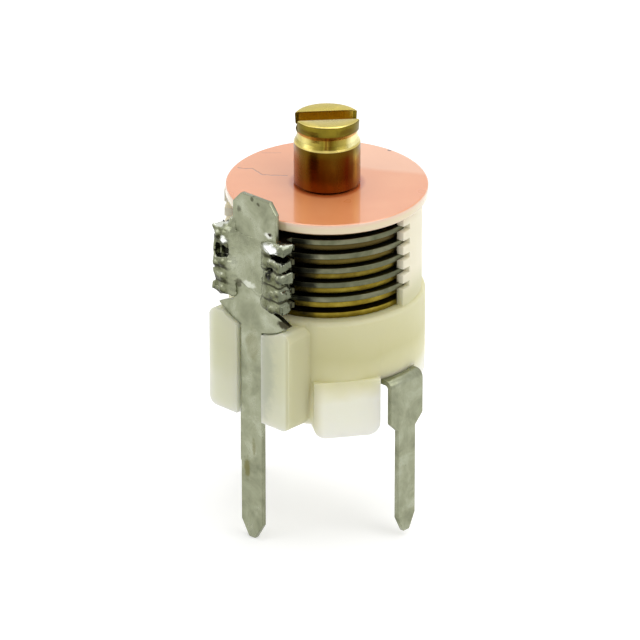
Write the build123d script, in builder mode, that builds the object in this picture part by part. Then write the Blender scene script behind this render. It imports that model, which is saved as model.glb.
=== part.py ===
from build123d import *
import os
from math import cos, radians, sin

os.makedirs("parts", exist_ok=True)

# Air trimmer capacitor with interleaved plates, for a printed board.
# All sizes are in millimetres. Z = 0 is the board under the feet, and the origin is on the
# spindle's axis. Plan angles are in degrees from the stator post on -Y, turning towards +X.

# Terminals
sheet = 0.26
pin_radius = 5.08
stator_pin_width = 1.36
rotor_pin_width = 1.18
pin_tip_width = 0.4
stator_pin_length = 5.69
rotor_pin_length = 5.42
pin_taper = 0.8
strap_width = 2.2
strap_eye_r = 2.0
strap_bend_r = 0.28
leg_shoulder = 0.45
leg_slope = 0.5

# Moulded frame
foot_height = 1.75
channel_depth = 0.91
floor_thickness = 3.22
rim_round = 0.2
skirt_bottom = 0.65
skirt_thickness = 1.27
wall_thickness = 0.38
wall_setback = 0.17
wall_right = 96.0
wall_left = -50.0
pilaster_span = 17.0
pilaster_proud = 0.36
seat_span = 7.0
seat_margin = 1.0
channel_clearance = 0.15
pocket_r = 2.5
foot_angles = (-55.0, 55.0, 180.0)
foot_width = 3.2
foot_proud = 0.06
foot_upstand = 1.1
foot_round = 0.6
lug_width = 5.17
lug_proud = 0.17
lug_drop = 0.2
lug_round = 0.45

# Stator post above the lug
post_width = 2.2
tab_rise = 0.885
tab_left = -1.15
tab_right = 1.6
tab_left_cut = (0.5, 0.53)
tab_right_cut = (0.42, 0.55)
flange_left = -2.1
flange_right = 2.45
flange_middle = 0.2
flange_below = 0.72
flange_above = 0.72
flange_tip_rise = 0.14

# Plates
stator_count = 5
stator_thickness = 0.27
rotor_thickness = 0.28
plate_gap = 0.09
stator_setback = 0.25
stator_hub_gap = 0.55
rotor_side_gap = 0.12
rotor_angle = 49.0
stack_lift = 0.235
head_gap = 0.275
ear_half_width = 2.2
ear_reach = 0.39
ear_inset = 0.6
ear_round = 0.3
neck_half_width = 1.45
solder_width = 0.2
solder_lap = 0.25
solder_overhang = 0.12

# Spindle and what runs on it. The bearing is its part in the disc's hole.
shaft_r = 1.575
bearing_r = 1.35
core_r = 1.1
core_flat = 0.9
shaft_rise = 2.12
shaft_gap = 0.11
groove_flank = 0.25
groove_land = 0.33
groove_depth = 0.135
groove_draft = 0.02
head_taper = 0.64
head_r = 1.57
head_chamfer = 0.06
slot_width = 1.1
slot_depth = 0.65
tail_length = 0.35
tail_chamfer = 0.12
thrust_thickness = 0.28
disc_thickness = 0.5
disc_gap = 0.15
disc_chamfer = 0.06
disc_overhang = 0.13
disc_lean = 2.0
lean_towards = 45.0
washer_height = 0.55
washer_thickness = 0.15
washer_r = 1.85
clip_thickness = 0.25
clip_r = 1.3
clip_groove_depth = 0.2
clip_mouth = 1.0

# Clearances
fit_gap = 0.02
running_gap = 0.04
seat_gap = 0.05
groove_gap = 0.12

# Radii that follow
post_inner = pin_radius - sheet / 2
post_outer = pin_radius + sheet / 2
disc_r = post_inner - disc_gap
base_r = disc_r - disc_overhang
skirt_inner_r = base_r - skirt_thickness
wall_outer_r = base_r - wall_setback
wall_inner_r = wall_outer_r - wall_thickness
pilaster_r = wall_outer_r + pilaster_proud
stator_r = wall_outer_r - stator_setback
rotor_r = wall_inner_r - rotor_side_gap
thrust_r = wall_inner_r - seat_gap
hub_opening_r = bearing_r + stator_hub_gap
journal_r = core_flat
journal_bore_r = journal_r + running_gap
channel_width = strap_width + 2 * channel_clearance
lug_reach = post_outer + lug_proud

# Heights that follow
underside = foot_height
strap_top = underside + channel_depth
strap_bottom = strap_top - sheet
base_top = strap_top + floor_thickness
lug_top = base_top - lug_drop
thrust_top = base_top + thrust_thickness
collar_bottom = thrust_top + running_gap
stack_bottom = thrust_top + stack_lift
pitch = stator_thickness + rotor_thickness + 2 * plate_gap
rotor_levels = [stack_bottom + pitch * i for i in range(stator_count + 1)]
stator_levels = [z + rotor_thickness + plate_gap for z in rotor_levels[:-1]]
stack_top = rotor_levels[-1] + rotor_thickness
wall_top = stack_top + head_gap
disc_top = wall_top + disc_thickness
shaft_bottom = disc_top + shaft_gap
shaft_top = disc_top + shaft_rise
neck_bottom = shaft_top + groove_flank
neck_top = neck_bottom + groove_land
spindle_top = neck_top + head_taper + head_chamfer
clip_top = strap_bottom - washer_height
clip_bottom = clip_top - clip_thickness
spindle_bottom = clip_bottom - tail_length
tab_top = disc_top + tab_rise
tab_bottom = stator_levels[-1] + stator_thickness + seat_gap


def facing(angle, distance):
    """Upright plane that looks outwards at a plan angle, with its local y along +Z."""
    outward = Vector(sin(radians(angle)), -cos(radians(angle)), 0)
    along = Vector(cos(radians(angle)), sin(radians(angle)), 0)
    return Plane(origin=outward * distance, x_dir=along, z_dir=outward)


def level(z):
    """Plan plane at a height, looking up."""
    return Plane.XY.offset(z)


def leaning(z):
    """Plane at a height on the axis that slopes down a little towards the frame's open side."""
    low_side = facing(lean_towards, 0)
    normal = low_side.z_dir * sin(radians(disc_lean)) + Vector(0, 0, cos(radians(disc_lean)))
    return Plane(origin=(0, 0, z), x_dir=low_side.x_dir, z_dir=normal)


def around(radius, angle):
    """Point in plan at a radius and a plan angle."""
    return (radius * sin(radians(angle)), -radius * cos(radians(angle)))


def pie(radius, start, end):
    """Slice of a disc between two plan angles, drawn in the open sketch."""
    with BuildLine() as outline:
        CenterArc((0, 0), radius, start - 90, end - start)
        Line(around(radius, end), (0, 0))
        Line((0, 0), around(radius, start))
    make_face(outline.edges())


def cut_beyond(angle, distance):
    """Takes away the open sketch's area on the far side of a line square to a plan angle."""
    far = 2 * pin_radius
    with Locations(Location(around(distance - far, angle) + (0,), (0, 0, angle))):
        Rectangle(2 * far, 2 * far, mode=Mode.SUBTRACT)


def core_hole():
    """Hole with two flats that fits the spindle's core."""
    with BuildSketch(mode=Mode.PRIVATE) as hole:
        Circle(core_r + fit_gap)
        Rectangle(4 * core_r, 2 * (core_flat + fit_gap), mode=Mode.INTERSECT)
    with Locations(Location((0, 0, 0), (0, 0, rotor_angle))):
        add(hole.sketch, mode=Mode.SUBTRACT)


def flange_lens():
    """Curved flange of the stator post, seen from the front."""
    left = (flange_left, base_top + flange_tip_rise)
    right = (flange_right, base_top + flange_tip_rise)
    with BuildLine() as outline:
        ThreePointArc(left, (flange_middle, base_top - flange_below), right)
        ThreePointArc(right, (flange_middle, base_top + flange_above), left)
    make_face(outline.edges())


def pin_outline(width, length, top):
    """Flat pin with a tapered end below the board, seen from the front."""
    half = width / 2
    tip = pin_tip_width / 2
    with BuildLine() as outline:
        Polyline(
            (-half, top),
            (-half, pin_taper - length),
            (-tip, -length),
            (tip, -length),
            (half, pin_taper - length),
            (half, top),
            close=True,
        )
    make_face(outline.edges())


def finish_piece(piece, name):
    """Labels a finished piece and writes it under the same name."""
    piece.part.label = name
    export_step(piece.part, f"parts/{name}.step")


# Moulded frame: round block on three feet, grooved lug for the post, upright C-shaped wall
with BuildPart() as frame:
    with BuildSketch(level(underside)):
        Circle(base_r)
    extrude(amount=base_top - underside)
    fillet(frame.edges().filter_by(GeomType.CIRCLE).group_by(Axis.Z)[-1], rim_round)

    with BuildSketch(level(skirt_bottom)):
        pie(base_r, foot_angles[0], foot_angles[1])
        Circle(skirt_inner_r, mode=Mode.SUBTRACT)
    extrude(amount=base_top - rim_round - skirt_bottom)

    for foot_angle in foot_angles:
        with BuildSketch(facing(foot_angle, base_r + foot_proud)) as foot_face:
            Rectangle(foot_width, underside + foot_upstand, align=(Align.CENTER, Align.MIN))
            fillet(foot_face.vertices().group_by(Axis.Y)[0], foot_round)
        extrude(amount=-(skirt_thickness + foot_proud))

    with BuildSketch(facing(0, lug_reach)):
        with Locations((0, (lug_top + skirt_bottom) / 2)):
            RectangleRounded(lug_width, lug_top - skirt_bottom, lug_round)
    extrude(amount=skirt_inner_r - lug_reach)

    with BuildSketch(level(underside)):
        Rectangle(4 * base_r, channel_width)
        Circle(pocket_r)
    extrude(amount=channel_depth, mode=Mode.SUBTRACT)

    with BuildSketch(level(strap_top)):
        pie(wall_outer_r, wall_right, 360 + wall_left)
        Circle(wall_inner_r, mode=Mode.SUBTRACT)
    extrude(amount=disc_top - strap_top)
    with BuildSketch(level(base_top - rim_round)):
        pie(pilaster_r, wall_left - pilaster_span, wall_left)
        Circle(wall_inner_r, mode=Mode.SUBTRACT)
    extrude(amount=disc_top - base_top + rim_round)

    # The wall's top edge leans as the cover disc on it does
    with BuildSketch(leaning(wall_top)):
        Circle(2 * disc_r)
    extrude(amount=2 * disc_thickness, mode=Mode.SUBTRACT)

    # Slots in both ends of the wall that hold the tips of the stator plates
    for z in stator_levels:
        with BuildSketch(level(z - fit_gap)):
            pie(pilaster_r + seat_gap, wall_left - seat_span, wall_right + seat_span)
            Circle(wall_inner_r - seat_gap, mode=Mode.SUBTRACT)
        extrude(amount=stator_thickness + 2 * fit_gap, mode=Mode.SUBTRACT)

    # Groove and curved seat for the post, open at the lug's end face
    with BuildSketch(facing(0, post_inner)) as groove:
        flange_lens()
        offset(amount=seat_gap)
        Rectangle(stator_pin_width + 2 * groove_gap, base_top, align=(Align.CENTER, Align.MIN))
    extrude(amount=lug_reach - post_inner + seat_gap, mode=Mode.SUBTRACT)

    with BuildSketch(level(strap_top)):
        Circle(journal_bore_r)
    extrude(amount=floor_thickness, mode=Mode.SUBTRACT)
finish_piece(frame, "frame")

# Cover disc, glued on the wall's top edge, with a hole that the spindle turns in
with BuildPart() as cover_disc:
    with BuildSketch(leaning(wall_top)):
        Circle(disc_r)
    extrude(amount=disc_thickness)
    chamfer(cover_disc.edges(), disc_chamfer)
    with BuildSketch(level(wall_top)):
        Circle(bearing_r + running_gap)
    extrude(amount=2 * disc_thickness, both=True, mode=Mode.SUBTRACT)
finish_piece(cover_disc, "cover_disc")

# Turned spindle with a screwdriver slot, flats for the plates and a groove for the clip
with BuildPart() as spindle:
    with BuildSketch(Plane.XZ):
        with BuildLine():
            Polyline(
                (0, spindle_bottom),
                (journal_r - tail_chamfer, spindle_bottom),
                (journal_r, spindle_bottom + tail_chamfer),
                (journal_r, clip_bottom - fit_gap),
                (journal_r - clip_groove_depth, clip_bottom - fit_gap),
                (journal_r - clip_groove_depth, clip_top + fit_gap),
                (journal_r, clip_top + fit_gap),
                (journal_r, collar_bottom),
                (core_r, collar_bottom),
                (core_r, stack_top),
                (bearing_r, stack_top),
                (bearing_r, shaft_bottom),
                (shaft_r, shaft_bottom),
                (shaft_r, shaft_top),
                (shaft_r - groove_depth, neck_bottom),
                (shaft_r - groove_depth + groove_draft, neck_top),
                (head_r, spindle_top - head_chamfer),
                (head_r - head_chamfer, spindle_top),
                (0, spindle_top),
                close=True,
            )
        make_face()
    revolve(axis=Axis.Z)
    with BuildSketch(level(spindle_top).rotated((0, 0, rotor_angle))):
        Rectangle(4 * shaft_r, slot_width)
    extrude(amount=-slot_depth, mode=Mode.SUBTRACT)
    for side in (1, -1):
        with BuildSketch(level(collar_bottom).rotated((0, 0, rotor_angle))):
            with Locations((0, side * (core_flat + core_r))):
                Rectangle(4 * core_r, 2 * core_r)
        extrude(amount=stack_top - collar_bottom, mode=Mode.SUBTRACT)
finish_piece(spindle, "spindle")

# Half-disc rotor plates with a round hub, and the rings that space them
for number, z in enumerate(reversed(rotor_levels), start=1):
    with BuildPart() as rotor_plate:
        with BuildSketch(level(z)):
            Circle(rotor_r)
            cut_beyond(rotor_angle, 0)
            Circle(bearing_r)
            core_hole()
        extrude(amount=rotor_thickness)
    finish_piece(rotor_plate, f"rotor_plate_{number}")

for number, z in enumerate(reversed(rotor_levels[:-1]), start=1):
    with BuildPart() as rotor_spacer:
        with BuildSketch(level(z + rotor_thickness)):
            Circle(bearing_r)
            core_hole()
        extrude(amount=pitch - rotor_thickness)
    finish_piece(rotor_spacer, f"rotor_spacer_{number}")

with BuildPart() as rotor_collar:
    with BuildSketch(level(collar_bottom)):
        Circle(bearing_r)
        core_hole()
    extrude(amount=stack_bottom - collar_bottom)
finish_piece(rotor_collar, "rotor_collar")

# Stator plates: tips in the wall's slots, forked ears around the post
tip_left = wall_left - seat_span + seat_margin
tip_right = wall_right + seat_span - seat_margin
stator_middle = (tip_left + tip_right) / 2
chord_distance = stator_r * cos(radians((tip_right - tip_left) / 2))
ear_outer = post_outer + ear_reach
ear_inner = post_inner - ear_inset
fork_half_width = post_width / 2 + solder_width
for number, z in enumerate(reversed(stator_levels), start=1):
    with BuildPart() as stator_plate:
        with BuildSketch(level(z)) as plan:
            Circle(stator_r)
            cut_beyond(stator_middle, chord_distance)
            Circle(hub_opening_r, mode=Mode.SUBTRACT)
            with Locations((0, -(ear_outer + ear_inner) / 2)):
                RectangleRounded(2 * ear_half_width, ear_outer - ear_inner, ear_round)
            with Locations((0, -(ear_inner + hub_opening_r) / 2 - seat_gap)):
                Rectangle(2 * neck_half_width, ear_inner - hub_opening_r)
            with Locations((0, -post_inner)):
                Rectangle(
                    2 * fork_half_width,
                    2 * (ear_outer - post_inner),
                    align=(Align.CENTER, Align.MAX),
                    mode=Mode.SUBTRACT,
                )
        extrude(amount=stator_thickness)
    finish_piece(stator_plate, f"stator_plate_{number}")

# Stator post: pin, curved flange on the lug, stem that the forks are soldered to and wider tab
with BuildPart() as stator_post:
    with BuildSketch(facing(0, post_outer)) as post_face:
        pin_outline(stator_pin_width, stator_pin_length, base_top)
        flange_lens()
        with Locations((0, base_top)):
            Rectangle(post_width, tab_bottom - base_top, align=(Align.CENTER, Align.MIN))
        with BuildLine():
            Polyline(
                (tab_left, tab_bottom),
                (tab_right, tab_bottom),
                (tab_right, tab_top - tab_right_cut[1]),
                (tab_right - tab_right_cut[0], tab_top),
                (tab_left + tab_left_cut[0], tab_top),
                (tab_left, tab_top - tab_left_cut[1]),
                close=True,
            )
        make_face()
    extrude(amount=-sheet)
finish_piece(stator_post, "stator_post")

# Solder fillets that join the forks to the post, one on each side
solder_bottom = stator_levels[0] - solder_overhang
solder_height = stator_levels[-1] + stator_thickness + solder_overhang - solder_bottom
with BuildPart() as solder_joint:
    for side in (1, -1):
        inner = side * post_width / 2
        outer = side * fork_half_width
        lap = side * (post_width / 2 - solder_lap)
        with BuildSketch(level(solder_bottom)):
            with BuildLine():
                Polyline(
                    (lap, -post_outer),
                    (inner, -post_outer),
                    (inner, -post_inner),
                    (outer, -post_inner),
                    (outer, -ear_outer),
                )
                RadiusArc((outer, -ear_outer), (lap, -post_outer), -side * 2 * ear_reach)
            make_face()
        extrude(amount=solder_height)
finish_piece(solder_joint, "solder_joint")

# Rotor terminal: strap across the underside with an eye for the spindle and two bent legs
with BuildPart() as rotor_terminal:
    strap_middle = strap_bottom + sheet / 2
    with BuildLine() as strap_path:
        FilletPolyline(
            (-pin_radius, 0, leg_shoulder),
            (-pin_radius, 0, strap_middle),
            (pin_radius, 0, strap_middle),
            (pin_radius, 0, leg_shoulder),
            radius=strap_bend_r,
        )
    with BuildSketch(Plane(origin=(-pin_radius, 0, leg_shoulder), x_dir=(1, 0, 0), z_dir=(0, 0, 1))):
        Rectangle(sheet, strap_width)
    sweep(path=strap_path.wire())
    with BuildSketch(level(strap_bottom)):
        Circle(strap_eye_r)
    extrude(amount=sheet)
    with BuildSketch(level(strap_bottom)):
        Circle(journal_r + groove_gap)
    extrude(amount=sheet, mode=Mode.SUBTRACT)
    for leg_angle, pin_length in ((90, rotor_pin_length), (-90, stator_pin_length)):
        with BuildSketch(facing(leg_angle, post_outer)):
            pin_outline(rotor_pin_width, pin_length, leg_shoulder)
            with BuildLine():
                Polyline(
                    (-strap_width / 2, leg_shoulder),
                    (strap_width / 2, leg_shoulder),
                    (rotor_pin_width / 2, leg_shoulder - leg_slope),
                    (-rotor_pin_width / 2, leg_shoulder - leg_slope),
                    close=True,
                )
            make_face()
        extrude(amount=-sheet)
finish_piece(rotor_terminal, "rotor_terminal")

# Brass thrust plate on the block's top face, under the rotor stack
with BuildPart() as thrust_plate:
    with BuildSketch(level(base_top)):
        Circle(thrust_r)
        Circle(journal_bore_r, mode=Mode.SUBTRACT)
    extrude(amount=thrust_thickness)
finish_piece(thrust_plate, "thrust_plate")

# Dished spring washer that pulls the spindle down and presses on the strap's eye
with BuildPart() as spring_washer:
    with BuildSketch(Plane.XZ):
        with BuildLine():
            washer_bore_r = journal_r + seat_gap
            Polyline(
                (washer_bore_r, clip_top + fit_gap),
                (washer_r, strap_bottom - washer_thickness - fit_gap),
                (washer_r, strap_bottom - fit_gap),
                (washer_bore_r, clip_top + washer_thickness + fit_gap),
                close=True,
            )
        make_face()
    revolve(axis=Axis.Z)
finish_piece(spring_washer, "spring_washer")

# Open retaining clip in the spindle's groove
with BuildPart() as retaining_clip:
    with BuildSketch(level(clip_bottom)):
        Circle(clip_r)
        Circle(journal_r - clip_groove_depth + fit_gap, mode=Mode.SUBTRACT)
        with Locations((0, clip_r)):
            Rectangle(clip_mouth, 2 * clip_r, mode=Mode.SUBTRACT)
    extrude(amount=clip_thickness)
finish_piece(retaining_clip, "retaining_clip")
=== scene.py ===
import math
import random

import bmesh
import bpy
from mathutils import Matrix, Vector, noise


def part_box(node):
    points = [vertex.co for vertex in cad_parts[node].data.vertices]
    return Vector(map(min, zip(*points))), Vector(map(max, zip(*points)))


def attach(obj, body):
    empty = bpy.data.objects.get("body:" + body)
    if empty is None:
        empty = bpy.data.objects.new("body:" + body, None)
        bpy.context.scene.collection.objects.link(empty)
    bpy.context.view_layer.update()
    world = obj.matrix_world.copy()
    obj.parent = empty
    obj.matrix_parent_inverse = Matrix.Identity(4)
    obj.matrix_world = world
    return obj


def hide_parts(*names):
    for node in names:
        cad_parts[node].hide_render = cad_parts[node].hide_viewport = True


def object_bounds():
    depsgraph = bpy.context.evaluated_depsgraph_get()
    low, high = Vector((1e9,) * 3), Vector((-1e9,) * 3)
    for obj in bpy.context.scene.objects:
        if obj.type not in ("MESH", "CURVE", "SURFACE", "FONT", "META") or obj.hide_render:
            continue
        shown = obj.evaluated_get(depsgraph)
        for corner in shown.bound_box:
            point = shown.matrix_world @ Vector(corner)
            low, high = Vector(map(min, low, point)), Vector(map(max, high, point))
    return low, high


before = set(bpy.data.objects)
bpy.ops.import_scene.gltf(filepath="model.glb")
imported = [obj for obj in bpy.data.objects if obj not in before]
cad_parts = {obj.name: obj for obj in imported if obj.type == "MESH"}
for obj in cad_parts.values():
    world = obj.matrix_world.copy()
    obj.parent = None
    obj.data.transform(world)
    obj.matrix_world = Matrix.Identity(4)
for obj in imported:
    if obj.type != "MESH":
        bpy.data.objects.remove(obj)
cad_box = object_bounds()
MM = 0.001
random.seed(7)

# ---------------------------------------------------------------- camera
AZIMUTH, ELEVATION, DISTANCE = math.radians(43.3), math.radians(24.4), 300 * MM
right = Vector((math.cos(AZIMUTH), math.sin(AZIMUTH), 0))
towards_camera = Vector(
    (
        math.sin(AZIMUTH) * math.cos(ELEVATION),
        -math.cos(AZIMUTH) * math.cos(ELEVATION),
        math.sin(ELEVATION),
    )
)
target = Vector((0, 0, 3.95 * MM)) - right * 0.333 * MM
camera = bpy.data.objects.new("camera", bpy.data.cameras.new("camera"))
bpy.context.collection.objects.link(camera)
camera.data.sensor_width = 36
camera.data.lens = 354.4
camera.data.clip_start = 0.01
camera.location = target + towards_camera * DISTANCE
camera.rotation_euler = towards_camera.to_track_quat("Z", "Y").to_euler()
bpy.context.scene.camera = camera
bpy.context.scene.view_settings.view_transform = "Standard"


# ---------------------------------------------------------------- places on the frame, in mm
SHAFT_RADIUS = 1.575
DISC_RADIUS, DISC_THICKNESS = 4.8, 0.5
# The disc falls this much for each millimetre along +X and along -Y
DISC_SLOPE = 0.0247
disc_top = (sum(v.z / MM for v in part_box("cover_disc")) + DISC_THICKNESS) / 2
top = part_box("spindle")[1].z / MM
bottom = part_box("spindle")[0].z / MM
head_low, neck_low, shaft_top, shaft_bottom = top - 0.70, top - 1.03, top - 1.28, top - 3.33
stack_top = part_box("rotor_plate_1")[1].z / MM
clip_low, clip_high = (v.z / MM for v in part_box("retaining_clip"))
post_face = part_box("stator_post")[0].y / MM
ear_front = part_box("stator_plate_1")[0].y / MM
# The stator plates' middles, from the top one down
levels = [sum(v.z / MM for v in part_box(f"stator_plate_{n}")) / 2 for n in range(1, 6)]
pitch = (levels[0] - levels[-1]) / (len(levels) - 1)


# ---------------------------------------------------------------- node helpers
class Graph:
    """Short calls for building one material's node tree, in the object's own millimetres."""

    def __init__(self, name):
        self.material = bpy.data.materials.new(name)
        self.material.use_nodes = True
        self.tree = self.material.node_tree
        self.shader = self.tree.nodes["Principled BSDF"]
        coords = self.tree.nodes.new("ShaderNodeTexCoord")
        scale = self.tree.nodes.new("ShaderNodeVectorMath")
        scale.operation = "SCALE"
        scale.inputs["Scale"].default_value = 1000
        self.tree.links.new(coords.outputs["Object"], scale.inputs[0])
        self.mm = scale.outputs[0]

    def link(self, value, socket):
        if isinstance(value, bpy.types.NodeSocket):
            self.tree.links.new(value, socket)
        else:
            socket.default_value = value

    def noise(self, size, detail=4, rough=0.55, vector=None, distortion=0):
        n = self.tree.nodes.new("ShaderNodeTexNoise")
        self.link(vector or self.mm, n.inputs["Vector"])
        n.inputs["Scale"].default_value = 1 / size
        n.inputs["Detail"].default_value = detail
        n.inputs["Roughness"].default_value = rough
        n.inputs["Distortion"].default_value = distortion
        return n.outputs["Fac"]

    def ramp(self, value, *stops):
        n = self.tree.nodes.new("ShaderNodeValToRGB")
        self.link(value, n.inputs["Fac"])
        elements = n.color_ramp.elements
        while len(elements) < len(stops):
            elements.new(0.5)
        for element, (place, colour) in zip(elements, stops):
            element.position = place
            if isinstance(colour, (int, float)):
                colour = (colour,) * 3
            element.color = (*colour, 1)
        return n.outputs["Color"]

    def math(self, operation, a, b=0.0):
        n = self.tree.nodes.new("ShaderNodeMath")
        n.operation = operation
        self.link(a, n.inputs[0])
        self.link(b, n.inputs[1])
        return n.outputs[0]

    def plus(self, a, b):
        return self.math("ADD", a, b)

    def minus(self, a, b):
        return self.math("SUBTRACT", a, b)

    def times(self, a, b):
        return self.math("MULTIPLY", a, b)

    def waver(self, value, wave, amount):
        """The value moved up and down by a noise that runs from 0 to 1."""
        return self.plus(value, self.times(self.minus(wave, 0.5), amount))

    def vector(self, operation, a, b):
        n = self.tree.nodes.new("ShaderNodeVectorMath")
        n.operation = operation
        self.link(a, n.inputs[0])
        self.link(b, n.inputs[1])
        return n.outputs[0]

    def vector_length(self, a):
        n = self.tree.nodes.new("ShaderNodeVectorMath")
        n.operation = "LENGTH"
        self.link(a, n.inputs[0])
        return n.outputs["Value"]

    def pointiness(self):
        return self.tree.nodes.new("ShaderNodeNewGeometry").outputs["Pointiness"]

    def edge(self, width):
        """1 along sharp edges, 0 on flat faces. The width is in millimetres."""
        soft = self.tree.nodes.new("ShaderNodeBevel")
        soft.samples = 6
        soft.inputs["Radius"].default_value = width * MM
        flat = self.tree.nodes.new("ShaderNodeNewGeometry")
        same = self.tree.nodes.new("ShaderNodeVectorMath")
        same.operation = "DOT_PRODUCT"
        self.tree.links.new(soft.outputs["Normal"], same.inputs[0])
        self.tree.links.new(flat.outputs["True Normal"], same.inputs[1])
        return self.between(same.outputs["Value"], 0.995, 0.9)

    def mix(self, fac, a, b, blend="MIX"):
        n = self.tree.nodes.new("ShaderNodeMix")
        n.data_type = "RGBA"
        n.blend_type = blend
        self.link(fac, n.inputs["Factor"])
        self.link((*a, 1) if isinstance(a, tuple) else a, n.inputs["A"])
        self.link((*b, 1) if isinstance(b, tuple) else b, n.inputs["B"])
        return n.outputs["Result"]

    def paint(self, base, mask, strength, colour):
        """The base with a colour laid over it where the mask is 1."""
        return self.mix(self.times(mask, strength), base, colour)

    def axes(self, vector=None):
        n = self.tree.nodes.new("ShaderNodeSeparateXYZ")
        self.link(vector or self.mm, n.inputs[0])
        return n.outputs[0], n.outputs[1], n.outputs[2]

    def stretch(self, x, y, z):
        return self.vector("MULTIPLY", self.mm, (x, y, z))

    def between(self, value, low, high):
        """0 at low, 1 at high, smooth."""
        n = self.tree.nodes.new("ShaderNodeMapRange")
        n.interpolation_type = "SMOOTHSTEP"
        self.link(value, n.inputs["Value"])
        n.inputs["From Min"].default_value = low
        n.inputs["From Max"].default_value = high
        return n.outputs["Result"]

    def bump(self, *layers):
        """Each layer is (height, depth in millimetres)."""
        normal = None
        for height, depth in layers:
            n = self.tree.nodes.new("ShaderNodeBump")
            n.inputs["Strength"].default_value = 1
            n.inputs["Distance"].default_value = depth * MM
            self.link(height, n.inputs["Height"])
            if normal is not None:
                self.link(normal, n.inputs["Normal"])
            normal = n.outputs["Normal"]
        self.link(normal, self.shader.inputs["Normal"])

    def set(self, **values):
        for key, value in values.items():
            socket = self.shader.inputs[key.replace("_", " ")]
            if isinstance(value, tuple) and len(value) == 3 and socket.type == "RGBA":
                value = (*value, 1)
            self.link(value, socket)


def radial(g, x, y):
    """Distance from the spindle's axis."""
    return g.math("SQRT", g.plus(g.times(x, x), g.times(y, y)))


def spot(g, centre, size, soft=0.5, ragged=1.6):
    """1 inside an ellipsoid with a wavy edge, 0 outside. The size is the ellipsoid's half size."""
    away = g.vector("SUBTRACT", g.mm, centre)
    away = g.vector("MULTIPLY", away, tuple(1 / v for v in size))
    reach = g.waver(g.vector_length(away), g.noise(1.2 * min(size), 4, 0.65), ragged)
    return g.between(reach, 0.9 + soft / 2, 0.9 - soft / 2)


def milky_plastic():
    g = Graph("milky_plastic")
    x, y, z = g.axes()
    cloud = g.noise(2.6, 3, 0.5)
    # Painted light and shade: paler low down and darker olive higher up
    base = g.ramp(
        g.between(g.waver(z, cloud, 1.4), -0.4, 6.4),
        (0.06, (0.985, 0.96, 0.79)),
        (0.28, (0.96, 0.935, 0.78)),
        (0.47, (0.77, 0.74, 0.46)),
        (0.70, (0.67, 0.64, 0.35)),
        (0.95, (0.72, 0.69, 0.42)),
    )
    # Painted light: the thin top wall paler and warmer
    painted_wall_light = g.between(z, 6.2, 7.6)
    base = g.mix(painted_wall_light, base, (0.98, 0.91, 0.68))
    lug = g.between(y, -4.3, -5.2)
    base = g.paint(base, lug, 0.75, (0.70, 0.71, 0.53))
    # Painted shade on the lug's right-hand side face
    flank_shade = g.times(g.between(x, 2.3, 2.5), g.between(y, -3.6, -4.2))
    base = g.paint(base, flank_shade, 0.9, (0.57, 0.55, 0.33))
    # Painted shade beside the post, on the lug's front
    shade = spot(g, (0.95, -5.4, 3.4), (0.75, 1.0, 2.4), 0.9)
    base = g.paint(base, shade, 0.7, (0.50, 0.53, 0.40))
    flow = g.noise(0.5, 5, 0.6, g.stretch(1, 1, 0.25))
    grain = g.noise(0.06, 2, 0.5)
    g.set(
        Base_Color=base,
        Roughness=g.ramp(flow, (0.3, 0.42), (0.7, 0.55)),
        IOR=1.45,
        Subsurface_Weight=g.ramp(g.between(z, 5.8, 7.6), (0.0, 0.85), (1.0, 0.25)),
        Subsurface_Radius=(0.85, 0.9, 1.0),
        Subsurface_Scale=1.4 * MM,
        Specular_IOR_Level=0.3,
    )
    g.bump((flow, 0.012), (grain, 0.003))
    return g.material


def hairline(g, x, y, points):
    """Thin wavy line through plan points, as a mask."""
    wobble = g.noise(0.3, 3, 0.6)
    mask = None
    for (x0, y0), (x1, y1) in zip(points, points[1:]):
        length = math.hypot(x1 - x0, y1 - y0)
        ux, uy = (x1 - x0) / length, (y1 - y0) / length
        dx, dy = g.minus(x, x0), g.minus(y, y0)
        along = g.plus(g.times(dx, ux), g.times(dy, uy))
        beyond = g.minus(g.math("ABSOLUTE", g.minus(along, length / 2)), length / 2)
        across = g.minus(g.times(dy, ux), g.times(dx, uy))
        across = g.math("ABSOLUTE", g.waver(across, wobble, 0.2))
        line = g.between(g.math("MAXIMUM", beyond, across), 0.06, 0.01)
        mask = line if mask is None else g.math("MAXIMUM", mask, line)
    return mask


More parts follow.
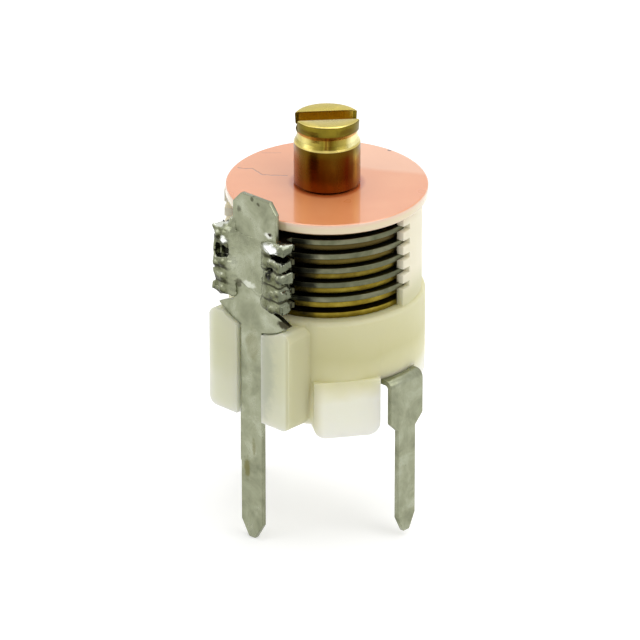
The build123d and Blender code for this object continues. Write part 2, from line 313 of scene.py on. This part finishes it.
def pink_disc():
    g = Graph("pink_disc")
    x, y, z = g.axes()
    radius = radial(g, x, y)
    cloud = g.noise(3.2, 3, 0.5)
    base = g.ramp(cloud, (0.3, (0.79, 0.27, 0.095)), (0.7, (0.86, 0.34, 0.14)))
    # A painted reflection: a paler band behind the spindle
    back = g.plus(g.times(x, 0.52), g.times(y, -0.884))
    painted_sheen = g.between(g.plus(back, g.times(cloud, 0.6)), -1.3, -1.9)
    painted_sheen = g.times(painted_sheen, g.between(g.plus(x, y), 0.4, 2.4))
    base = g.paint(base, painted_sheen, 0.45, (0.92, 0.60, 0.42))
    # The disc leans, so depths below its top face are measured along its own axis
    below = g.minus(disc_top, g.plus(z, g.times(g.minus(x, y), DISC_SLOPE)))
    rim = g.times(
        g.between(radius, DISC_RADIUS - 0.06, DISC_RADIUS),
        g.between(below, -0.01, 0.05),
    )
    base = g.paint(base, rim, 0.9, (0.88, 0.66, 0.48))
    low = g.times(g.between(below, 0.08, 0.22), rim)
    base = g.paint(base, low, 0.6, (0.80, 0.72, 0.42))
    # Painted shadow and reflection of the shaft: darker round the opening for it
    base = g.mix(
        g.between(radius, SHAFT_RADIUS + 0.325, SHAFT_RADIUS + 0.025), base, (0.60, 0.13, 0.03)
    )
    crack = hairline(g, x, y, ((-4.14, -1.74), (-3.58, -1.36), (-2.74, -1.50), (-1.84, -0.80)))
    scratch = hairline(g, x, y, ((-4.47, 0.27), (-3.85, 0.85)))
    speck = spot(g, (-0.27, 4.62, 11.0), (0.12, 0.1, 0.4), 0.3)
    dark = g.math("MAXIMUM", g.times(crack, 0.6), g.times(scratch, 0.3))
    base = g.mix(g.math("MAXIMUM", dark, speck), base, (0.22, 0.09, 0.05))
    g.set(
        Base_Color=base,
        Roughness=g.ramp(cloud, (0.3, 0.26), (0.7, 0.31)),
        IOR=1.5,
        Coat_Weight=1.0,
        Coat_Roughness=0.03,
        Coat_IOR=1.75,
    )
    g.bump((crack, -0.01))
    return g.material


def turned_brass():
    g = Graph("turned_brass")
    x, y, z = g.axes()
    radius = radial(g, x, y)
    cloud = g.noise(0.9, 5, 0.6, g.stretch(1, 1, 0.6))
    wavy = g.waver(z, g.noise(0.6, 4, 0.6), 0.10)
    streak = g.noise(0.35, 4, 0.6, g.stretch(1, 1, 0.12))
    across = g.waver(g.plus(g.times(x, 0.46), g.times(y, 0.44)), streak, 0.2)
    # 0 at one side of the spindle and 1 at the other
    place = g.plus(g.times(across, 0.5), 0.5)

    # Shaft, with painted reflections in long stripes
    shaft = g.ramp(
        place,
        (0.03, (0.30, 0.12, 0.03)),
        (0.10, (0.16, 0.08, 0.009)),
        (0.19, (0.12, 0.056, 0.004)),
        (0.28, (0.065, 0.014, 0.0005)),
        (0.45, (0.075, 0.021, 0.001)),
        (0.60, (0.095, 0.038, 0.003)),
        (0.70, (0.085, 0.026, 0.0015)),
        (0.80, (0.085, 0.011, 0.0005)),
        (0.87, (0.12, 0.045, 0.003)),
        (0.93, (0.36, 0.25, 0.04)),
        (0.99, (0.22, 0.12, 0.02)),
    )
    upper = g.between(wavy, shaft_top - 0.47, shaft_top - 0.07)
    shaft = g.paint(shaft, upper, 0.5, (0.105, 0.068, 0.005))
    # Painted reflection of the pink disc, reddish near the shaft's foot
    lower = g.between(wavy, shaft_bottom + 0.73, shaft_bottom + 0.13)
    shaft = g.paint(shaft, lower, 0.45, (0.26, 0.06, 0.006))

    # Groove, with painted reflections: dull in the middle and bright to both sides
    groove = g.ramp(
        place,
        (0.05, (0.40, 0.32, 0.07)),
        (0.16, (0.72, 0.63, 0.22)),
        (0.30, (0.36, 0.28, 0.05)),
        (0.42, (0.20, 0.15, 0.018)),
        (0.46, (0.26, 0.19, 0.025)),
        (0.485, (0.12, 0.05, 0.004)),
        (0.51, (0.27, 0.18, 0.025)),
        (0.54, (0.11, 0.06, 0.005)),
        (0.60, (0.18, 0.135, 0.016)),
        (0.76, (0.40, 0.32, 0.07)),
        (0.88, (0.95, 0.88, 0.45)),
        (0.97, (0.80, 0.72, 0.32)),
    )

    # Head, by depth below its top face, with painted reflections that are darkest on its side
    ramp_low, ramp_high = top - 1.5, top + 0.1

    def stop(depth):
        return (top - depth - ramp_low) / (ramp_high - ramp_low)

    head = g.ramp(
        g.between(wavy, ramp_low, ramp_high),
        (stop(1.26), (0.62, 0.50, 0.15)),
        (stop(1.10), (0.50, 0.38, 0.085)),
        (stop(0.60), (0.27, 0.21, 0.03)),
        (stop(0.45), (0.13, 0.096, 0.010)),
        (stop(0.20), (0.17, 0.13, 0.014)),
    )
    in_groove = g.times(
        g.between(wavy, shaft_top + 0.06, shaft_top + 0.12),
        g.between(wavy, head_low + 0.20, head_low + 0.08),
    )
    head = g.mix(in_groove, head, groove)
    base = g.mix(g.between(z, shaft_top - 0.02, shaft_top + 0.015), shaft, head)
    # Painted highlight on the chamfer, then the top face
    base = g.mix(g.between(z, top - 0.045, top - 0.035), base, (0.66, 0.55, 0.20))
    base = g.mix(g.between(z, top - 0.018, top - 0.008), base, (0.58, 0.475, 0.115))
    blotches = g.times(g.between(cloud, 0.45, 0.75), 0.35)
    base = g.mix(blotches, base, g.mix(1.0, base, (2.0, 1.9, 1.6), "MULTIPLY"))
    for centre, size in (
        ((1.47, -0.28, top - 0.30), (0.42, 0.48, 0.16)),
        ((0.27, -1.48, top - 0.35), (0.6, 0.30, 0.10)),
    ):
        base = g.paint(base, spot(g, centre, size, 0.9), 0.6, (0.09, 0.045, 0.005))
    # Inside the screwdriver slot
    slot = g.times(g.between(radius, 1.42, 1.36), g.between(z, top - 0.03, top - 0.08))
    slot = g.times(slot, g.between(z, top - 1.5, top - 1.0))
    base = g.mix(slot, base, (0.62, 0.445, 0.065))
    # Marks of the lathe and of handling
    rings = g.noise(0.05, 3, 0.6, g.stretch(0.02, 0.02, 1))
    circles = g.math("SINE", g.times(radius, 95.0))
    scratch = g.noise(0.12, 3, 0.6, g.stretch(0.3, 2.5, 1))
    g.set(Base_Color=base, Metallic=1.0, Roughness=g.ramp(cloud, (0.3, 0.30), (0.7, 0.20)))
    g.bump((rings, 0.004), (circles, 0.0005), (scratch, 0.002))
    return g.material


def painted_ear_shade(g):
    """Painted shade on the plate rims behind the ears, next to the solder."""
    return spot(g, (2.1, -4.1, 8.2), (0.85, 0.90, 6.0), 0.8)


def sheet_brass():
    g = Graph("sheet_brass")
    tarnish = g.noise(0.7, 5, 0.65)
    base = g.ramp(
        tarnish,
        (0.3, (0.16, 0.11, 0.011)),
        (0.55, (0.24, 0.18, 0.022)),
        (0.8, (0.37, 0.29, 0.05)),
    )
    # Painted shade: the plates darken towards the top of the stack, under the disc
    z = g.axes()[2]
    base = g.paint(base, g.between(z, 6.9, 9.6), 0.9, (0.065, 0.048, 0.018))
    # Painted shade behind the ears
    base = g.mix(painted_ear_shade(g), base, (0.012, 0.010, 0.005))
    lines = g.noise(0.04, 3, 0.6, g.stretch(1, 1, 5))
    g.set(Base_Color=base, Metallic=1.0, Roughness=g.ramp(tarnish, (0.3, 0.42), (0.7, 0.28)))
    g.bump((lines, 0.004), (tarnish, 0.008))
    return g.material


def tinned_metal(name, dark, middle, light, rough, stains_and_light=(), ear_shade=False):
    """Tin plating with clouds and pits. The listed marks are stains, dark specks, painted
    highlights and painted shadows, each as (centre, half size, strength, colour).
    """
    g = Graph(name)
    cloud = g.noise(1.3, 6, 0.62, distortion=0.4)
    base = g.ramp(cloud, (0.28, dark), (0.5, middle), (0.75, light))
    specks = g.ramp(g.noise(0.22, 3, 0.6), (0.66, 0.0), (0.78, 1.0))
    base = g.paint(base, specks, 0.5, (0.13, 0.12, 0.07))
    for centre, size, strength, colour in stains_and_light:
        base = g.paint(base, spot(g, centre, size, 0.7), strength, colour)
    # Painted shade behind the ears, on the plate rims
    if ear_shade:
        base = g.mix(painted_ear_shade(g), base, (0.012, 0.012, 0.008))
    # Painted shade along sharp edges
    base = g.paint(base, g.edge(0.07), 0.55, (0.10, 0.10, 0.055))
    fine = g.noise(0.09, 4, 0.6)
    g.set(Base_Color=base, Metallic=1.0, Roughness=g.ramp(cloud, (0.3, rough + 0.1), (0.7, rough)))
    g.bump((cloud, 0.03), (fine, 0.004), (specks, 0.004))
    return g.material


def solder_metal():
    g = Graph("solder")
    x, _, z = g.axes()
    cloud = g.noise(1.3, 6, 0.62, distortion=0.4)
    skin = g.ramp(cloud, (0.28, TIN[0]), (0.5, TIN[1]), (0.75, TIN[2]))
    lump = g.noise(0.5, 4, 0.6)
    # Painted light and shade on the coated ears: lighter where they face up, darker where they
    # face down, with painted highlights at the top of the ramp
    up = g.axes(g.tree.nodes.new("ShaderNodeNewGeometry").outputs["Normal"])[2]
    painted_light = g.waver(g.times(up, 0.45), lump, 0.9)
    ears = g.ramp(
        g.plus(painted_light, 0.5),
        (0.28, (0.03, 0.031, 0.015)),
        (0.45, (0.125, 0.133, 0.072)),
        (0.65, (0.235, 0.248, 0.155)),
        (0.80, (0.36, 0.375, 0.27)),
        (0.93, (0.68, 0.70, 0.62)),
    )
    # Painted shade on the ears' right-hand ends
    ears = g.paint(ears, g.between(x, 2.0, 2.12), 0.6, (0.15, 0.165, 0.12))
    sides = g.math("MAXIMUM", g.between(x, 0.6, 1.3), g.between(x, -1.0, -1.5))
    base = g.mix(sides, skin, ears)
    # Painted shade in the grooves between the coated ears
    step = g.math("DIVIDE", g.minus(z, levels[-1] - pitch / 2), pitch)
    step = g.waver(step, g.noise(0.7, 4, 0.6), 0.55)
    groove = g.between(g.math("PINGPONG", step, 0.5), 0.13, 0.04)
    groove = g.times(groove, g.times(sides, g.between(z, 9.6, 9.5)))
    base = g.paint(base, groove, 0.9, (0.03, 0.03, 0.016))
    # Painted shade in the creases
    crease_shade = g.times(g.between(g.pointiness(), 0.47, 0.40), sides)
    base = g.paint(base, crease_shade, 0.8, (0.035, 0.038, 0.022))
    # Painted shade in gaps and painted highlights on drops, as (centre, half size, strength,
    # colour)
    for centre, size, strength, colour in (
        ((1.36, -5.5, 8.50), (0.24, 0.7, 0.34), 1.0, (0.015, 0.015, 0.010)),
        ((-0.75, -5.4, 7.40), (0.26, 0.6, 0.20), 0.7, BLACK),
        ((-0.10, -5.4, 7.50), (0.42, 0.6, 0.17), 0.6, (0.75, 0.77, 0.68)),
        ((1.45, -5.5, 9.84), (0.56, 0.5, 0.25), 1.0, (0.97, 0.99, 0.98)),
        ((-1.5, -5.5, 9.45), (0.20, 0.4, 0.20), 1.0, (0.90, 0.92, 0.86)),
    ):
        base = g.paint(base, spot(g, centre, size, 0.7), strength, colour)
    # Painted shade in the dark openings between the ears
    for centre, size in (
        ((-1.76, -5.2, 8.84), (0.40, 0.7, 0.38)),
        ((2.05, -5.1, 9.36), (0.72, 0.8, 0.15)),
    ):
        base = g.mix(spot(g, centre, size, 0.3, 0.5), base, (0.012, 0.012, 0.008))
    fine = g.noise(0.12, 4, 0.6)
    g.set(Base_Color=base, Metallic=1.0, Roughness=g.ramp(fine, (0.3, 0.18), (0.7, 0.32)))
    g.bump((cloud, 0.02), (fine, 0.004))
    return g.material


def spring_steel():
    g = Graph("spring_steel")
    cloud = g.noise(0.6, 5, 0.6)
    base = g.ramp(cloud, (0.3, (0.36, 0.36, 0.35)), (0.7, (0.52, 0.52, 0.50)))
    lines = g.noise(0.05, 3, 0.6, g.stretch(3, 0.4, 1))
    g.set(Base_Color=base, Metallic=1.0, Roughness=g.ramp(cloud, (0.3, 0.34), (0.7, 0.26)))
    g.bump((lines, 0.005))
    return g.material


TIN = (0.19, 0.20, 0.13), (0.295, 0.31, 0.21), (0.44, 0.46, 0.35)
BROWN, BLACK = (0.16, 0.15, 0.055), (0.035, 0.03, 0.014)
PLASTIC, DISC, BRASS = milky_plastic(), pink_disc(), turned_brass()
SHEET_BRASS, SOLDER, STEEL = sheet_brass(), solder_metal(), spring_steel()
TINNED = tinned_metal("tinned_metal", *TIN, 0.26)
POST = tinned_metal(
    "post_metal",
    *TIN,
    0.24,
    (
        # Painted highlight on the tab, beside a dark speck
        ((1.14, -5.2, 10.33), (0.24, 0.4, 0.16), 0.7, (0.85, 0.86, 0.80)),
        ((1.25, -5.2, 10.40), (0.15, 0.4, 0.11), 1.0, BLACK),
        ((0.10, -5.2, 11.88), (0.12, 0.4, 0.12), 0.7, BLACK),
        ((0.50, -5.2, 11.72), (0.10, 0.4, 0.10), 0.7, BLACK),
        ((-0.75, -5.2, 11.15), (0.14, 0.4, 0.16), 0.6, BLACK),
        ((-0.80, -5.2, 7.30), (0.20, 0.4, 0.16), 0.7, BLACK),
        ((-0.30, -5.2, -2.15), (0.20, 0.4, 0.55), 0.8, BROWN),
        ((0.15, -5.2, -0.9), (0.12, 0.4, 0.45), 0.5, BROWN),
        ((2.15, -5.2, 6.05), (0.48, 0.5, 0.20), 0.95, BLACK),
        # Painted shadow under the flange, on the post's stem
        ((0.10, -5.2, 4.4), (0.40, 0.4, 0.9), 0.35, BROWN),
    ),
)
# The stator plates in the same tin plating, painted darker as shade between the plates
SHADED_PLATE = tinned_metal(
    "shaded_plate_metal",
    (0.075, 0.08, 0.045),
    (0.13, 0.135, 0.08),
    (0.25, 0.24, 0.16),
    0.28,
    ear_shade=True,
)


# ---------------------------------------------------------------- mesh helpers
def piece(name, bm, material, body, nodes):
    """Makes the finished mesh an object that rides on a body and stands for CAD nodes."""
    mesh = bpy.data.meshes.new(name)
    bm.to_mesh(mesh)
    bm.free()
    obj = bpy.data.objects.new(name, mesh)
    bpy.context.collection.objects.link(obj)
    mesh.materials.append(material)
    for polygon in mesh.polygons:
        polygon.use_smooth = True
    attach(obj, body)
    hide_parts(*nodes)
    return obj


def solid_of(node):
    """The node's surface with its flat areas in one face each."""
    bm = bmesh.new()
    bm.from_mesh(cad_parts[node].data)
    bmesh.ops.remove_doubles(bm, verts=bm.verts, dist=2e-6)
    bmesh.ops.dissolve_limit(
        bm, angle_limit=math.radians(0.4), verts=bm.verts, edges=bm.edges, delimit=set()
    )
    return bm


def apply_modifiers(obj):
    evaluated = obj.evaluated_get(bpy.context.evaluated_depsgraph_get())
    mesh = bpy.data.meshes.new_from_object(evaluated)
    obj.modifiers.clear()
    old = obj.data
    obj.data = mesh
    bpy.data.meshes.remove(old)


def rounded(node, name, width, material, body, segments=2):
    """The node with its sharp edges rounded off."""
    obj = piece(name, solid_of(node), material, body, [node])
    bevel = obj.modifiers.new("edges", "BEVEL")
    bevel.width = width * MM
    bevel.segments = segments
    bevel.limit_method = "ANGLE"
    bevel.angle_limit = math.radians(28)
    normals = obj.modifiers.new("normals", "WEIGHTED_NORMAL")
    normals.keep_sharp = False
    apply_modifiers(obj)
    return obj


# ---------------------------------------------------------------- spindle
def lathe(bm, profile, steps):
    """Turns (radius, z) points in millimetres round the Z axis into a closed skin."""
    rings = []
    for r, z in profile:
        if r < 1e-6:
            rings.append([bm.verts.new((0, 0, z * MM))])
            continue
        rings.append(
            [
                bm.verts.new((r * math.cos(t) * MM, r * math.sin(t) * MM, z * MM))
                for t in (2 * math.pi * k / steps for k in range(steps))
            ]
        )
    for low, high in zip(rings, rings[1:]):
        for k in range(steps):
            n = (k + 1) % steps
            if len(low) == 1:
                bm.faces.new((low[0], high[n], high[k]))
            elif len(high) == 1:
                bm.faces.new((low[k], low[n], high[0]))
            else:
                bm.faces.new((low[k], low[n], high[n], high[k]))
    bmesh.ops.recalc_face_normals(bm, faces=bm.faces)


def softened(points, radius):
    """The profile with each corner between its two ends swapped for a short curve."""
    out = [points[0]]
    for before, corner, after in zip(points, points[1:], points[2:]):
        a, c, b = Vector(before), Vector(corner), Vector(after)
        ra = min(radius, (a - c).length * 0.4)
        rb = min(radius, (b - c).length * 0.4)
        p, q = c + (a - c).normalized() * ra, c + (b - c).normalized() * rb
        for t in (0, 0.33, 0.67, 1):
            m = p * (1 - t) ** 2 + c * 2 * t * (1 - t) + q * t**2
            out.append((m.x, m.y))
    out.append(points[-1])
    return out


outline = [
    (0, bottom),
    (0.78, bottom),
    (0.9, bottom + 0.12),
    (0.9, clip_low - 0.02),
    (0.7, clip_low - 0.02),
    (0.7, clip_high + 0.02),
    (0.9, clip_high + 0.02),
    (0.9, stack_top),
    (1.35, stack_top),
    (1.35, shaft_bottom),
    (SHAFT_RADIUS, shaft_bottom),
    (SHAFT_RADIUS, shaft_top),
    (1.44, neck_low),
    (1.43, (neck_low + head_low) / 2),
    (1.44, head_low),
    (1.545, top - 0.54),
    (1.57, top - 0.06),
    (1.51, top),
    (0, top),
]
bm = bmesh.new()
lathe(bm, softened(outline, 0.035), 128)
spindle = piece("slotted_spindle", bm, BRASS, "rotor", ["spindle"])
# The screwdriver slot
SLOT_LENGTH, SLOT_WIDTH, SLOT_DEPTH, SLOT_TURN = 5, 1.1, 0.65, 49
bm = bmesh.new()
bmesh.ops.create_cube(bm, size=1)
cutter = bpy.data.objects.new("cutter", bpy.data.meshes.new("cutter"))
bm.to_mesh(cutter.data)
bm.free()
bpy.context.collection.objects.link(cutter)
cutter.scale = (SLOT_LENGTH * MM, SLOT_WIDTH * MM, 2 * SLOT_DEPTH * MM)
cutter.rotation_euler.z = math.radians(SLOT_TURN)
cutter.location.z = top * MM
cut = spindle.modifiers.new("slot", "BOOLEAN")
cut.object = cutter
cut.solver = "EXACT"
edges = spindle.modifiers.new("edges", "BEVEL")
edges.width = 0.03 * MM
edges.segments = 2
edges.limit_method = "ANGLE"
edges.angle_limit = math.radians(50)
apply_modifiers(spindle)
bpy.data.objects.remove(cutter)

# ---------------------------------------------------------------- plain pieces
rounded("frame", "frame_moulding", 0.05, PLASTIC, "frame")
rounded("cover_disc", "disc", 0.05, DISC, "frame", 3)
rounded("rotor_terminal", "terminal", 0.035, TINNED, "frame")
rounded("thrust_plate", "thrust_ring", 0.03, SHEET_BRASS, "frame")
for number in range(1, 6):
    rounded(f"rotor_spacer_{number}", f"spacer_{number}", 0.02, BRASS, "rotor")
for number in range(1, 7):
    rounded(f"rotor_plate_{number}", f"rotor_{number}", 0.03, SHEET_BRASS, "rotor")
rounded("rotor_collar", "collar", 0.02, BRASS, "rotor")
rounded("spring_washer", "washer", 0.02, STEEL, "rotor")
rounded("retaining_clip", "clip", 0.02, STEEL, "rotor")
rounded("stator_post", "post", 0.035, POST, "frame")


# ---------------------------------------------------------------- stator plates with bent ears
EAR_ROOT, EAR_TIP, EAR_SIDE = -4.6, -5.46, 2.1


def ease(value, low, high):
    """0 at low, 1 at high, smooth."""
    t = min(1, max(0, (value - low) / (high - low)))
    return t * t * (3 - 2 * t)


def ear_lift(number, x, y):
    """How far an ear is bent up at a point, in millimetres. The rest of the plate stays flat."""
    out = ease(-y, 4.42, 5.3)
    lifts = {
        (1, -1): -0.10, (2, -1): 0.34, (3, -1): -0.20, (4, -1): -0.08, (5, -1): -0.06,
        (1, 1): 0.03, (2, 1): -0.05, (3, 1): 0.06, (4, 1): -0.03, (5, 1): -0.05,
    }
    side = 1 if x > 0 else -1
    return lifts[(number, side)] * out * ease(abs(x), 1.1, 1.7)


for number in range(1, 6):
    plate = rounded(
        f"stator_plate_{number}", f"stator_{number}", 0.03, SHADED_PLATE, "frame"
    )
    for v in plate.data.vertices:
        v.co.z += ear_lift(number, v.co.x / MM, v.co.y / MM) * MM
        # The ears' tips stay under the solder
        if v.co.y < EAR_ROOT * MM:
            v.co.y = max(v.co.y, EAR_TIP * MM)
            v.co.x = min(max(v.co.x, -EAR_SIDE * MM), EAR_SIDE * MM)

# ---------------------------------------------------------------- solder
def blob(bm, centre, size, turn=0.0):
    """A lump of solder before the lumps are melted together."""
    place = Matrix.Translation(Vector(centre) * MM) @ Matrix.Rotation(turn, 4, "Y")
    ball = bmesh.ops.create_icosphere(bm, subdivisions=2, radius=1)
    bmesh.ops.scale(bm, vec=Vector(size) * MM, verts=ball["verts"])
    bmesh.ops.transform(bm, matrix=place, verts=ball["verts"])


def slab(bm, low, high, lift=None, crooked=0.0):
    """A block of solder between two corners, knocked about and lifted with the ear it coats."""
    cube = bmesh.ops.create_cube(bm, size=1)
    size, middle = Vector(high) - Vector(low), (Vector(high) + Vector(low)) / 2
    for v in cube["verts"]:
        p = Vector(a * b for a, b in zip(v.co, size)) + middle
        knock = (random.uniform(-1, 1), random.uniform(0, 0.6), random.uniform(-1, 1))
        p += Vector(knock) * crooked
        if lift:
            p.z += lift(p.x, p.y)
        v.co = p * MM


bm = bmesh.new()
for number, middle in enumerate(levels, 1):
    for side in (-1, 1):
        # Crooked blocks on each ear, from the post outwards
        for near, far, front in (
            (0.90, 1.5, post_face - 0.08),
            (1.25, 1.95, ear_front + 0.15),
            (1.7, 2.25, ear_front + 0.12),
        ):
            slab(
                bm,
                (min(side * near, side * far), front, middle - 0.22),
                (max(side * near, side * far), -4.80, middle + 0.22),
                lambda x, y, n=number: ear_lift(n, x, y),
                0.09,
            )
        for reach, depth in ((1.2, 0.42), (1.62, 0.34), (2.0, 0.32)):
            x = side * (reach + random.uniform(-0.1, 0.05))
            z = middle + ear_lift(number, x, ear_front) + random.uniform(-0.1, 0.08)
            width, thickness = random.uniform(0.22, 0.36), random.uniform(0.26, 0.34)
            size = (width, thickness, random.uniform(0.22, 0.34))
            blob(bm, (x, ear_front + depth, z), size, random.uniform(-0.6, 0.6))
# Solder drawn in between neighbouring ears, as (side, upper ear, inner and outer reach)
for side, number, near, far in (
    (-1, 1, 1.15, 2.10), (-1, 3, 1.15, 2.13), (-1, 4, 1.15, 2.13),
    (1, 1, 1.0, 1.45), (1, 2, 1.6, 2.0), (1, 3, 1.0, 2.13), (1, 4, 1.0, 2.13),
):
    slab(
        bm,
        (min(side * near, side * far), ear_front + 0.14, levels[number]),
        (max(side * near, side * far), -4.85, levels[number - 1]),
    )
# Beads up both edges of the post, with a gap in the right-hand row
for step in range(18):
    z = 6.75 + 0.18 * step + 0.05 * random.random()
    blob(bm, (-1.2, post_face, z), (0.26, 0.2, 0.24))
    if not 8.2 < z < 8.75:
        blob(bm, (1.05, post_face, z), (0.30 + 0.1 * random.random(), 0.22, 0.2))
# A skin on the post's face, runs at its lower end and drops on the right-hand ears
slab(bm, (-1.2, post_face - 0.02, 7.35), (1.1, post_face + 0.12, 9.95))
blob(bm, (-0.35, post_face + 0.04, 7.42), (0.75, 0.09, 0.12), 0.12)
blob(bm, (0.55, post_face + 0.03, 7.20), (0.55, 0.10, 0.12), 0.3)
blob(bm, (1.40, -5.34, 9.86), (0.52, 0.25, 0.27), 0.1)
blob(bm, (1.05, -5.30, 9.05), (0.32, 0.20, 0.24))
blob(bm, (1.02, -5.28, 7.6), (0.28, 0.20, 0.5))
blob(bm, (1.02, -5.26, 6.95), (0.30, 0.20, 0.3))
# On the left a drop, a recessed sheet carrying the painted shade of the opening between the ears,
# a thin strip at the ears' ends and the top of the joint
blob(bm, (-1.45, -5.34, 9.42), (0.22, 0.24, 0.24))
slab(bm, (-2.15, -5.05, 8.3), (-1.2, -4.85, 9.4))
slab(bm, (-2.28, -5.45, 8.1), (-2.11, -4.85, 9.5))
blob(bm, (-1.20, -5.16, 10.20), (0.24, 0.18, 0.42))
blob(bm, (-1.45, -5.18, 10.02), (0.32, 0.20, 0.26))
solder = piece("solder", bm, SOLDER, "frame", ["solder_joint"])
melt = solder.modifiers.new("melt", "REMESH")
melt.mode = "VOXEL"
melt.voxel_size = 0.045 * MM
calm = solder.modifiers.new("calm", "SMOOTH")
calm.factor = 0.6
calm.iterations = 6
apply_modifiers(solder)
# Fine swelling, kept just behind the front of the CAD ears
for v in solder.data.vertices:
    p = v.co / MM
    swell = noise.noise(p * 1.6) * 0.09 + noise.noise(p * 4.0) * 0.015
    v.co += v.normal * swell * MM
    v.co.y = max(v.co.y, (ear_front + 0.002) * MM)
for polygon in solder.data.polygons:
    polygon.use_smooth = True

# ---------------------------------------------------------------- floor, world and lights
def background_rays(tree):
    """1 where the background is looked at, straight or in a reflection or through clear parts."""
    rays = tree.nodes.new("ShaderNodeLightPath")
    value = rays.outputs["Is Camera Ray"]
    for name in ("Is Glossy Ray", "Is Transmission Ray"):
        either = tree.nodes.new("ShaderNodeMath")
        either.operation = "MAXIMUM"
        tree.links.new(value, either.inputs[0])
        tree.links.new(rays.outputs[name], either.inputs[1])
        value = either.outputs[0]
    return value


floor_mesh = bpy.data.meshes.new("floor")
bm = bmesh.new()
bmesh.ops.create_grid(bm, x_segments=8, y_segments=8, size=1.5)
bm.to_mesh(floor_mesh)
bm.free()
floor = bpy.data.objects.new("floor", floor_mesh)
bpy.context.collection.objects.link(floor)
floor.location.z = cad_box[0].z - 0.01 * MM
paper = bpy.data.materials.new("paper")
paper.use_nodes = True
tree = paper.node_tree
diffuse = tree.nodes["Principled BSDF"]
diffuse.inputs["Base Color"].default_value = (0.86, 0.86, 0.855, 1)
diffuse.inputs["Roughness"].default_value = 0.9
diffuse.inputs["Specular IOR Level"].default_value = 0.1
seen = tree.nodes.new("ShaderNodeMath")
seen.operation = "MULTIPLY"
seen.inputs[1].default_value = 0.3
tree.links.new(background_rays(tree), seen.inputs[0])
diffuse.inputs["Emission Color"].default_value = (1, 1, 1, 1)
tree.links.new(seen.outputs[0], diffuse.inputs["Emission Strength"])
floor_mesh.materials.append(paper)

world = bpy.data.worlds.new("studio")
bpy.context.scene.world = world
world.use_nodes = True
tree = world.node_tree
background = tree.nodes["Background"]
coords = tree.nodes.new("ShaderNodeTexCoord")
away = tree.nodes.new("ShaderNodeVectorMath")
away.operation = "DOT_PRODUCT"
away.inputs[1].default_value = (-math.sin(AZIMUTH), math.cos(AZIMUTH), 0.6)
tree.links.new(coords.outputs["Generated"], away.inputs[0])
shade = tree.nodes.new("ShaderNodeMapRange")
shade.inputs["From Min"].default_value = -0.9
shade.inputs["From Max"].default_value = 0.9
shade.inputs["To Min"].default_value = 0.35
shade.inputs["To Max"].default_value = 0.85
tree.links.new(away.outputs["Value"], shade.inputs["Value"])
pick = tree.nodes.new("ShaderNodeMix")
pick.data_type = "FLOAT"
tree.links.new(background_rays(tree), pick.inputs["Factor"])
tree.links.new(shade.outputs["Result"], pick.inputs["A"])
pick.inputs["B"].default_value = 1.0
tree.links.new(pick.outputs["Result"], background.inputs["Strength"])
background.inputs["Color"].default_value = (1, 1, 1, 1)


def softbox(name, azimuth, elevation, distance, size, power):
    """Square soft light that looks at the part, placed by angles counted as the camera's are."""
    a, e = math.radians(azimuth), math.radians(elevation)
    back = Vector((math.sin(a) * math.cos(e), -math.cos(a) * math.cos(e), math.sin(e)))
    data = bpy.data.lights.new(name, "AREA")
    data.shape = "SQUARE"
    data.size = size
    data.energy = power
    lamp = bpy.data.objects.new(name, data)
    bpy.context.collection.objects.link(lamp)
    lamp.location = target + back * distance
    lamp.rotation_euler = back.to_track_quat("Z", "Y").to_euler()


softbox("key", 100, 45, 0.35, 0.2, 0.30)
softbox("fill", -30, 30, 0.35, 0.2, 0.12)
softbox("top", 200, 75, 0.35, 0.25, 0.30)
